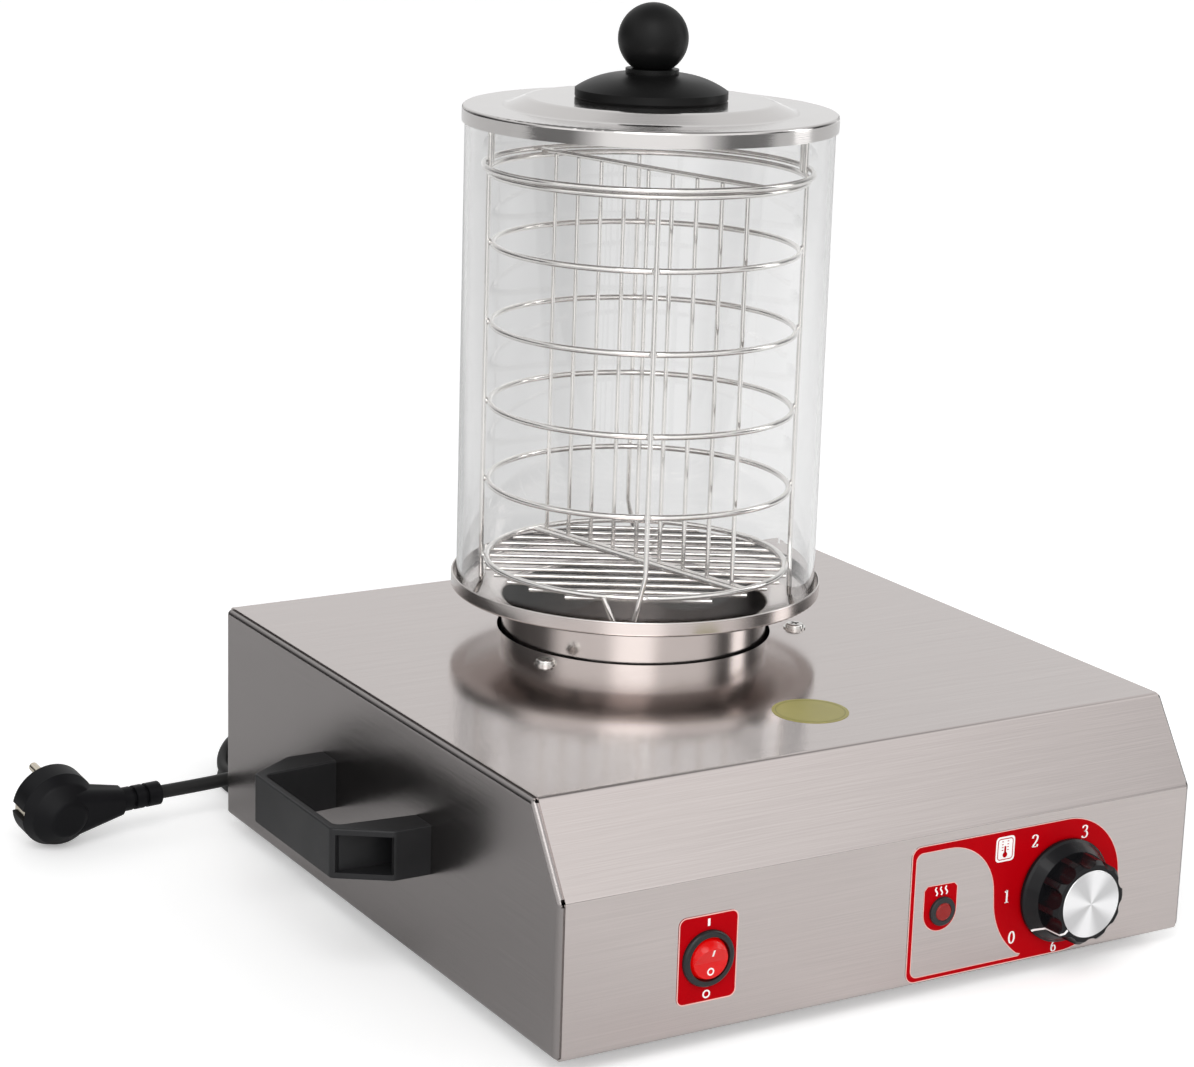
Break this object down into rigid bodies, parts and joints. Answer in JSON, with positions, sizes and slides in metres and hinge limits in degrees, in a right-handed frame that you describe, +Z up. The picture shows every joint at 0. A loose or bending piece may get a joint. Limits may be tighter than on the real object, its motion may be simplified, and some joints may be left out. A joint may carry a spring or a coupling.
{
  "type": "hot dog steamer",
  "caption": "Countertop sausage steamer: low steel box with water pan, glass cylinder with wire basket and knobbed lid, thermostat dial, rocker switch, side handles and mains lead.",
  "frame": {"origin": "on the floor under the middle of the object without its lead, on the level of the rubber feet", "axes": "+X to the right seen from the front, +Y to the back, +Z up"},
  "size_m": [0.4956, 0.4683, 0.431],
  "materials": {
    "brushed_steel": "brushed along the long way, faint grain",
    "plain_steel": "mill finish",
    "pan_steel": "spun and polished",
    "lid_steel": "polished",
    "bright_wire": "bright wire",
    "screw_steel": "plated",
    "foot_rubber": "matte",
    "handle_plastic": "fine texture",
    "knob_plastic": "satin gloss",
    "lid_knob_plastic": "satin phenolic",
    "switch_plastic": "satin",
    "rocker_red": "clear red, lit from inside",
    "lamp_red": "clear red",
    "label_red": "printed film",
    "label_print": "printed film",
    "sticker_film": "translucent film",
    "knob_aluminium": "spun",
    "plate_aluminium": "cast",
    "clear_glass": "clear",
    "brass": "bright",
    "copper": "drawn copper",
    "inner_plastic": "moulded",
    "wire_insulation": "smooth",
    "earth_insulation": "smooth",
    "cord_black": "smooth sheath",
    "tie_black": "smooth",
    "plug_black": "moulded",
    "pin_nickel": "nickel plated"
  },
  "bodies": {
    "base": {"casing_wrap": "brushed_steel", "side_panel_left": "brushed_steel", "side_panel_right": "brushed_steel", "bottom_plate": "plain_steel", "rubber_feet": "foot_rubber", "foot_screws": "screw_steel", "m4_nuts": "screw_steel", "panel_screws": "screw_steel", "handle_left": "handle_plastic", "handle_right": "handle_plastic", "handle_screws": "screw_steel", "handle_nuts": "screw_steel", "switch_label": "label_red", "dial_label": "label_print", "round_sticker": "sticker_film", "switch_housing": "switch_plastic", "switch_terminals": "brass", "lamp_housing": "switch_plastic", "lamp_lens": "lamp_red", "lamp_neon": "clear_glass", "thermostat_body": "inner_plastic", "thermostat_screws": "screw_steel", "sensor_line": "copper", "heating_plate": "plate_aluminium", "heating_element": "screw_steel", "heater_bracket": "plain_steel", "heat_shield": "plain_steel", "top_screws": "screw_steel", "terminal_block": "inner_plastic", "terminal_block_screws": "screw_steel", "mains_tail": "cord_black", "supply_wires": "wire_insulation", "heater_wires": "wire_insulation", "earth_wire": "earth_insulation", "earth_stud": "brass", "cable_gland": "switch_plastic", "gland_nut": "switch_plastic", "cord_lead": "cord_black", "cord_coil": "cord_black", "cord_tail": "cord_black", "cord_tie": "tie_black", "plug_body": "plug_black", "plug_pins": "pin_nickel", "plug_earth_clips": "pin_nickel", "plug_strain_relief": "plug_black"},
    "rocker": {"rocker": "rocker_red"},
    "thermostat_knob": {"thermostat_knob": "knob_plastic", "knob_cap": "knob_aluminium", "thermostat_shaft": "screw_steel"},
    "water_pan": {"water_pan": "pan_steel"},
    "glass": {"glass_cylinder": "clear_glass"},
    "basket": {"basket_rings": "bright_wire", "basket_posts": "bright_wire", "basket_grate": "bright_wire", "basket_divider": "bright_wire", "basket_lugs": "bright_wire"},
    "lid": {"lid_shell": "lid_steel", "lid_knob_base": "lid_knob_plastic", "lid_knob_ball": "lid_knob_plastic", "lid_screw": "screw_steel"}
  },
  "joints": [
    {"name": "rocker_tilt", "type": "hinge", "parent": "base", "child": "rocker", "pos_m": [-0.098, -0.1702, 0.043], "axis": [-1, 0, 0], "range_deg": [0, 22]},
    {"name": "thermostat_turn", "type": "hinge", "parent": "base", "child": "thermostat_knob", "pos_m": [0.0978, -0.172, 0.041], "axis": [0, 1, 0], "range_deg": [0, 270]},
    {"name": "pan_lift", "type": "slide", "parent": "base", "child": "water_pan", "axis": [0, 0, 1], "range_m": [0, 0.12]},
    {"name": "glass_lift", "type": "slide", "parent": "water_pan", "child": "glass", "axis": [0, 0, 1], "range_m": [0, 0.25]},
    {"name": "basket_lift", "type": "slide", "parent": "glass", "child": "basket", "axis": [0, 0, 1], "range_m": [0, 0.26]},
    {"name": "lid_lift", "type": "slide", "parent": "basket", "child": "lid", "axis": [0, 0, 1], "range_m": [0, 0.15]}
  ]
}
